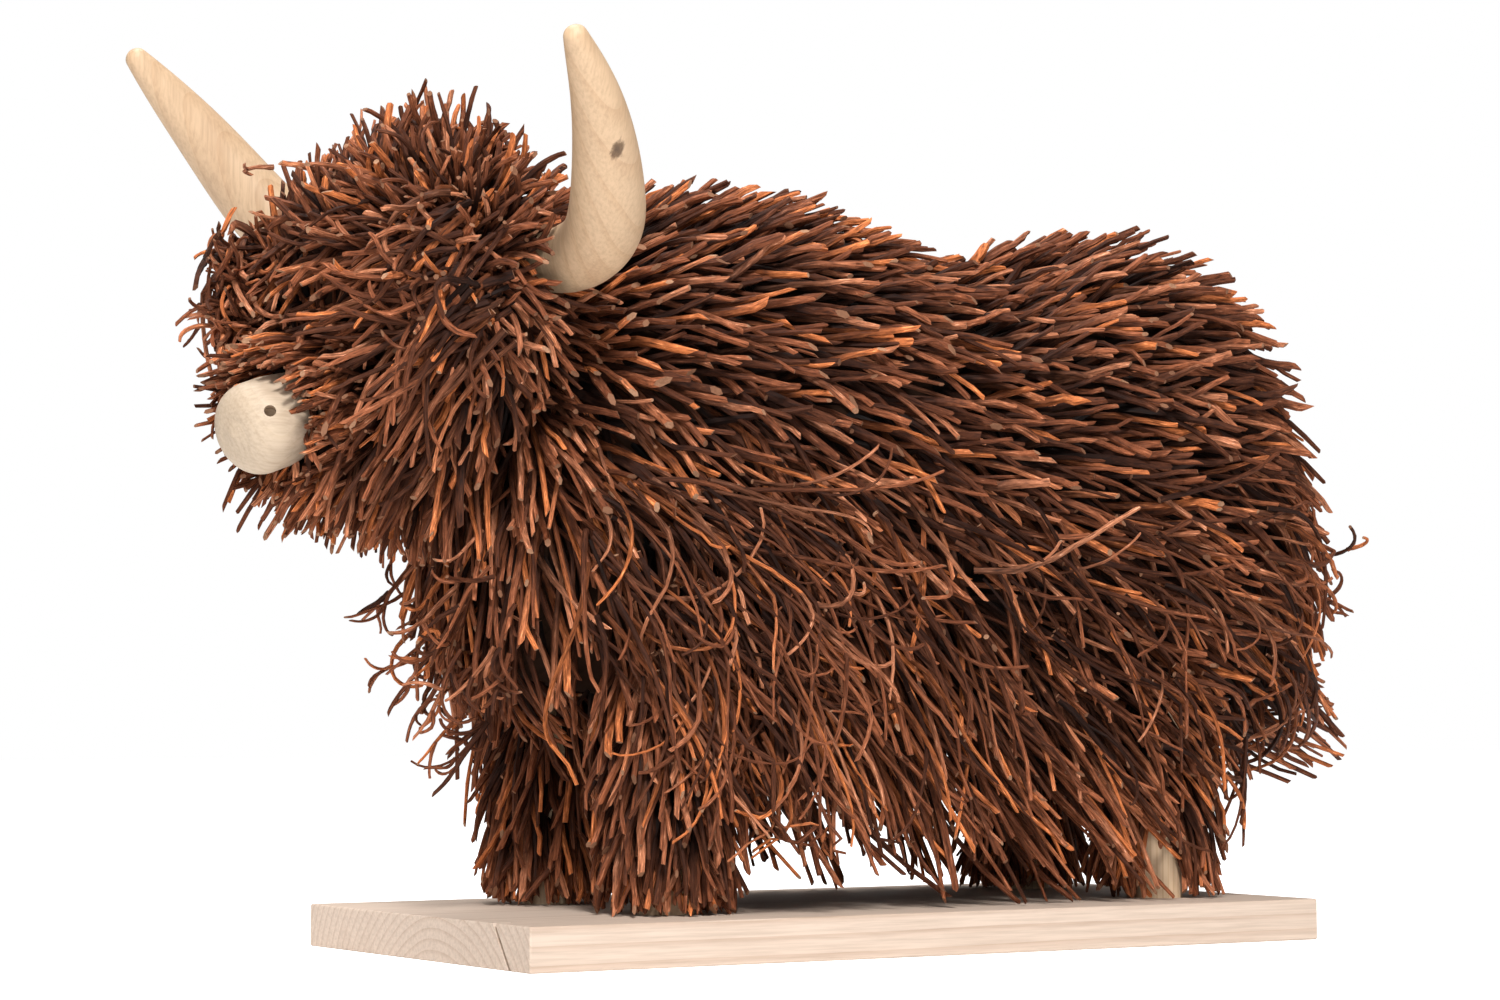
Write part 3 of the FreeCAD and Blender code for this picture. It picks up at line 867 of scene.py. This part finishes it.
def coloured(add, link, value, stops):
    """The colour that a ramp gives a number."""
    node = ramp(add, stops)
    link(value, node.inputs["Fac"])
    return node.outputs["Color"]


def tinted(add, link, colour, tint):
    """A colour multiplied by another."""
    node = add("Mix", data_type="RGBA", blend_type="MULTIPLY")
    node.inputs["Factor"].default_value = 1
    link(colour, node.inputs["A"])
    link(tint, node.inputs["B"])
    return node.outputs["Result"]


def textured(add, link, shader, value, roughness, strength, depth):
    """Roughness between two levels, and a bump of this strength and depth, both by one texture."""
    rough = add("MapRange")
    rough.inputs["To Min"].default_value = roughness[0]
    rough.inputs["To Max"].default_value = roughness[1]
    link(value, rough.inputs["Value"])
    link(rough.outputs["Result"], shader.inputs["Roughness"])
    bump = add("Bump", Strength=strength, Distance=depth)
    link(value, bump.inputs["Height"])
    link(bump.outputs["Normal"], shader.inputs["Normal"])


def bark_material():
    """Brown bark in many tones, with fine dark streaks, pale streaks of painted highlight, and painted shade
    towards the root.
    """
    material, shader, add, link = new_material("twig_bark")
    tones = [
        (0.0, (0.052, 0.015, 0.006)),
        (0.35, (0.150, 0.044, 0.018)),
        (0.65, (0.285, 0.087, 0.036)),
        (0.84, (0.470, 0.178, 0.088)),
        (0.90, (0.475, 0.135, 0.042)),
        (1.0, (0.560, 0.163, 0.049)),
    ]
    # The dark stops are the bark's own streaks. The pale, greyer top stops are painted highlight, partly
    # pale bark.
    streak_levels = [
        (0.34, (0.30, 0.27, 0.25)),
        (0.5, (1, 1, 1)),
        (0.6, (1.3, 1.35, 1.4)),
        (0.68, (2.5, 3.4, 4.3)),
    ]
    # Painted shade: the bark darkens towards the root, standing in for the shade deep among the twigs.
    root_shade_levels = [(0.0, (0.015, 0.015, 0.015)), (0.55, (0.27, 0.25, 0.24)), (0.91, (1, 1, 1))]
    stretch = add("Mapping", Scale=(7, 90, 1))
    link(add("UVMap", uv_map="BarkMap").outputs["UV"], stretch.inputs["Vector"])
    streaks = add("TexNoise", Scale=1.6, Detail=5.0, Roughness=0.6)
    link(stretch.outputs["Vector"], streaks.inputs["Vector"])
    tone = add("Attribute", attribute_name="tone").outputs["Fac"]
    along = add("Attribute", attribute_name="along").outputs["Fac"]
    colour = coloured(add, link, tone, tones)
    colour = tinted(add, link, colour, coloured(add, link, streaks.outputs["Fac"], streak_levels))
    colour = tinted(add, link, colour, coloured(add, link, along, root_shade_levels))
    link(colour, shader.inputs["Base Color"])
    textured(add, link, shader, streaks.outputs["Fac"], (0.5, 0.85), strength=0.8, depth=0.6 * MM)
    shader.inputs["Specular IOR Level"].default_value = 0.15
    return material


def cut_end_material():
    """Cut wood, paler in some twigs than in others, with a fine grain."""
    material, shader, add, link = new_material("twig_cut_end")
    colours = [(0.0, (0.11, 0.045, 0.024)), (0.6, (0.25, 0.12, 0.068)), (1.0, (0.46, 0.26, 0.155))]
    tone = add("Attribute", attribute_name="tone")
    grain = add("TexNoise", Scale=900.0, Detail=3.0)
    link(add("TexCoord").outputs["Object"], grain.inputs["Vector"])
    by_tone = number_times(add, link, tone.outputs["Fac"], factor=0.6)
    by_grain = number_times(add, link, grain.outputs["Fac"], factor=0.5)
    level = number_sum(add, link, by_tone, by_grain, use_clamp=True)
    link(coloured(add, link, level, colours), shader.inputs["Base Color"])
    shader.inputs["Roughness"].default_value = 0.85
    shader.inputs["Specular IOR Level"].default_value = 0.1
    return material


def stretched(axis, share):
    """Factors that draw a pattern out along one axis, where only a share of the distance counts."""
    factors = [1.0, 1.0, 1.0]
    factors["XYZ".index(axis)] = share
    return factors


def growth_rings(add, link, drawn_out, along_axis, ring_gap, bend):
    """A number that climbs across each growth ring and then drops, with the rings bent by noise."""
    drift = add("TexNoise", Scale=9.0, Detail=2.0)
    link(drawn_out, drift.inputs["Vector"])
    shift = add("VectorMath", operation="SCALE")
    shift.inputs["Scale"].default_value = bend
    link(drift.outputs["Color"], shift.inputs[0])
    moved = add("VectorMath", operation="ADD")
    link(drawn_out, moved.inputs[0])
    link(shift.outputs[0], moved.inputs[1])
    rings = add("TexWave", wave_type="RINGS", rings_direction=along_axis, Distortion=0.6, Detail=2.0)
    rings.wave_profile = "SAW"
    rings.inputs["Scale"].default_value = WAVE_GAP / ring_gap
    link(moved.outputs[0], rings.inputs["Vector"])
    return rings.outputs["Fac"]


def knotted(add, link, colour, place, fibres, spot, size):
    """The colour darkened in a ragged spot of this size."""
    levels = [(0.3, (0.10, 0.07, 0.05)), (0.75, (0.3, 0.25, 0.2)), (1.0, (1, 1, 1))]
    offset = vector_with(add, link, "SUBTRACT", place, spot)
    scaled = vector_with(add, link, "DIVIDE", offset, size)
    far = add("VectorMath", operation="LENGTH")
    link(scaled, far.inputs[0])
    ragged = number_sum(add, link, far.outputs["Value"], fibres)
    level = number_times(add, link, ragged, factor=0.6)
    return tinted(add, link, colour, coloured(add, link, level, levels))


def wood_material(name, colours, pith, along_axis, ring_gap, bend, roughness, shine=0.5, knots=()):
    """Solid wood: growth rings round a pith line, stretched along one axis, with fine fibres.

    colours are the early wood, the late wood and a darker streak. knots are (place, size) pairs.
    """
    material, shader, add, link = new_material(name)
    early, late, streak = colours
    place = add("TexCoord").outputs["Object"]
    centred = vector_with(add, link, "SUBTRACT", place, pith)
    drawn_out = vector_with(add, link, "MULTIPLY", centred, stretched(along_axis, share=0.12))
    rings = growth_rings(add, link, drawn_out, along_axis, ring_gap, bend)
    fibre_noise = add("TexNoise", Scale=700.0, Detail=4.0, Roughness=0.6)
    fibre_place = vector_with(add, link, "MULTIPLY", place, stretched(along_axis, share=0.03))
    link(fibre_place, fibre_noise.inputs["Vector"])
    fibres = fibre_noise.outputs["Fac"]
    blotches = add("TexNoise", Scale=22.0, Detail=3.0)
    link(drawn_out, blotches.inputs["Vector"])

    streaked = add("Mix", data_type="RGBA")
    streaked.inputs["B"].default_value = (*streak, 1)
    streak_levels = [(0.55, (0, 0, 0)), (0.75, (0.55, 0.55, 0.55))]
    link(coloured(add, link, blotches.outputs["Fac"], streak_levels), streaked.inputs["Factor"])
    link(coloured(add, link, rings, [(0.0, early), (0.6, early), (1.0, late)]), streaked.inputs["A"])
    fibre_tint = coloured(add, link, fibres, [(0.3, (0.82, 0.80, 0.78)), (0.6, (1, 1, 1))])
    colour = tinted(add, link, streaked.outputs["Result"], fibre_tint)
    for spot, size in knots:
        colour = knotted(add, link, colour, place, fibres, spot, size)
    link(colour, shader.inputs["Base Color"])
    textured(add, link, shader, fibres, (roughness, roughness + 0.2), strength=0.25, depth=0.2 * MM)
    shader.inputs["Specular IOR Level"].default_value = shine
    return material


def steel_material():
    """Dull zinc plate with a mottled bloom."""
    material, shader, add, link = new_material("zinc_plate")
    bloom = add("TexNoise", Scale=500.0, Detail=3.0)
    link(add("TexCoord").outputs["Object"], bloom.inputs["Vector"])
    colours = [(0.3, (0.46, 0.45, 0.40)), (0.7, (0.66, 0.65, 0.60))]
    link(coloured(add, link, bloom.outputs["Fac"], colours), shader.inputs["Base Color"])
    shader.inputs["Metallic"].default_value = 1
    shader.inputs["Roughness"].default_value = 0.38
    return material


materials = {
    "bark": bark_material(),
    "cut_end": cut_end_material(),
    "plank": wood_material(
        "plank_wood",
        [(0.66, 0.525, 0.425), (0.56, 0.415, 0.32), (0.445, 0.31, 0.23)],
        pith=Vector((0.03, 0, -0.05)),
        along_axis="Y",
        ring_gap=5 * MM,
        bend=0.012,
        roughness=0.55,
    ),
    "horn": wood_material(
        "horn_wood",
        [(0.59, 0.405, 0.25), (0.54, 0.355, 0.21), (0.43, 0.26, 0.145)],
        pith=Vector((0, -0.25, 0.3)),
        along_axis="Z",
        ring_gap=9 * MM,
        bend=0.02,
        roughness=0.42,
        knots=[(Vector((151, -202, 351)) * MM, Vector((3, 3, 8)) * MM)],
    ),
    "muzzle": wood_material(
        "muzzle_wood",
        [(0.515, 0.40, 0.29), (0.49, 0.375, 0.265), (0.44, 0.325, 0.22)],
        pith=Vector((0.03, 0, 0.23)),
        along_axis="Y",
        ring_gap=3 * MM,
        bend=0.008,
        roughness=0.5,
    ),
    "post": wood_material(
        "post_wood",
        [(0.74, 0.56, 0.37), (0.60, 0.41, 0.25), (0.48, 0.30, 0.18)],
        pith=Vector((0, 0, 0)),
        along_axis="Z",
        ring_gap=3 * MM,
        bend=0.008,
        roughness=0.6,
    ),
    # Near-black core blocks: a guessed dark stain, made this dark as painted shade for the gaps between the
    # twigs.
    "dark_core": wood_material(
        "stained_wood",
        [(0.030, 0.014, 0.008), (0.020, 0.009, 0.005), (0.014, 0.006, 0.004)],
        pith=Vector((0, 0, 0.2)),
        along_axis="Y",
        ring_gap=4 * MM,
        bend=0.01,
        roughness=0.8,
        shine=0.1,
    ),
    "steel": steel_material(),
}

NODE_MATERIALS = {
    "base_plank": "plank",
    "left_horn": "horn",
    "right_horn": "horn",
    "muzzle": "muzzle",
    **dict.fromkeys(POST_NODES, "post"),
    "horn_dowels": "post",
    "muzzle_dowel": "post",
    # The neck peg and the two blocks get the near-black core wood, which partly stands in for the shade in
    # the gaps.
    "neck_peg": "dark_core",
    "body_block": "dark_core",
    "head_block": "dark_core",
    "leg_screws": "steel",
}


def paint_nodes():
    """Gives the wooden and steel nodes their materials."""
    for name, material in NODE_MATERIALS.items():
        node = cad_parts[name]
        node.data.materials.clear()
        node.data.materials.append(materials[material])


# --- Stage --------------------------------------------------------------------------------------
SKY_LIGHT = 0.27  # what the white surround gives as light
SKY_SEEN = 1.0  # how bright it looks behind the figure
FLOOR_LIGHT = 0.2  # the same two for the floor, so that its far part is as pale as its near part
FLOOR_SEEN = 0.92


def floor_material():
    """A pale mottled floor that glows by itself, more so where the camera sees it."""
    material, shader, add, link = new_material("studio_floor")
    mottle = add("TexNoise", Scale=6.0, Detail=2.0)
    link(add("TexCoord").outputs["Object"], mottle.inputs["Vector"])
    tint = coloured(add, link, mottle.outputs["Fac"], [(0.0, (0.86, 0.86, 0.86)), (1.0, (0.90, 0.90, 0.90))])
    link(tint, shader.inputs["Base Color"])
    link(tint, shader.inputs["Emission Color"])
    glow = add("MapRange")
    glow.inputs["To Min"].default_value = FLOOR_LIGHT
    glow.inputs["To Max"].default_value = FLOOR_SEEN
    link(add("LightPath").outputs["Is Camera Ray"], glow.inputs["Value"])
    link(glow.outputs["Result"], shader.inputs["Emission Strength"])
    shader.inputs["Roughness"].default_value = 0.9
    return material


def studio():
    """A pale floor, a white sky, and soft lamps above and to the sides."""
    bpy.ops.mesh.primitive_plane_add(size=14)
    floor = bpy.context.object
    floor.name = "studio_floor"
    floor.data.materials.append(floor_material())
    world = bpy.data.worlds.new("studio")
    world.use_nodes = True
    sky = world.node_tree.nodes["Background"]
    sky.inputs["Color"].default_value = (1, 1, 1, 1)
    path = world.node_tree.nodes.new("ShaderNodeLightPath")
    strength = world.node_tree.nodes.new("ShaderNodeMapRange")
    strength.inputs["To Min"].default_value = SKY_LIGHT
    strength.inputs["To Max"].default_value = SKY_SEEN
    world.node_tree.links.new(path.outputs["Is Camera Ray"], strength.inputs["Value"])
    world.node_tree.links.new(strength.outputs["Result"], sky.inputs["Strength"])
    bpy.context.scene.world = world
    bpy.context.scene.view_settings.view_transform = "Standard"
    aim = Vector((0, 0, 0.2))
    # Each lamp's name, place, size and watts.
    lamps = (
        ("key_lamp", (1.9, -0.9, 2.1), 0.5, 88),
        ("fill_lamp", (1.3, -1.8, 0.8), 1.4, 9.5),
        ("top_lamp", (-0.6, -0.2, 2.3), 1.0, 34),
    )
    for name, place, size, watts in lamps:
        lamp = bpy.data.lights.new(name, "AREA")
        lamp.size = size
        lamp.energy = watts
        holder = bpy.data.objects.new(name, lamp)
        holder.location = place
        holder.rotation_euler = (aim - Vector(place)).to_track_quat("-Z", "Y").to_euler()
        bpy.context.scene.collection.objects.link(holder)


def camera():
    """A low viewpoint at the cow's left front, looking slightly up."""
    heading = 57.9  # degrees from +Y towards -X
    rise = 3.55  # degrees above level
    lens = bpy.data.cameras.new("camera")
    lens.lens = 84.07
    lens.sensor_width = 36
    lens.clip_end = 50
    holder = bpy.data.objects.new("camera", lens)
    holder.location = (1.429, -0.937, 0.109)
    holder.rotation_euler = Euler((math.radians(90 + rise), 0, math.radians(heading)))
    bpy.context.scene.collection.objects.link(holder)
    bpy.context.scene.camera = holder


grow_coat()
paint_nodes()
studio()
camera()
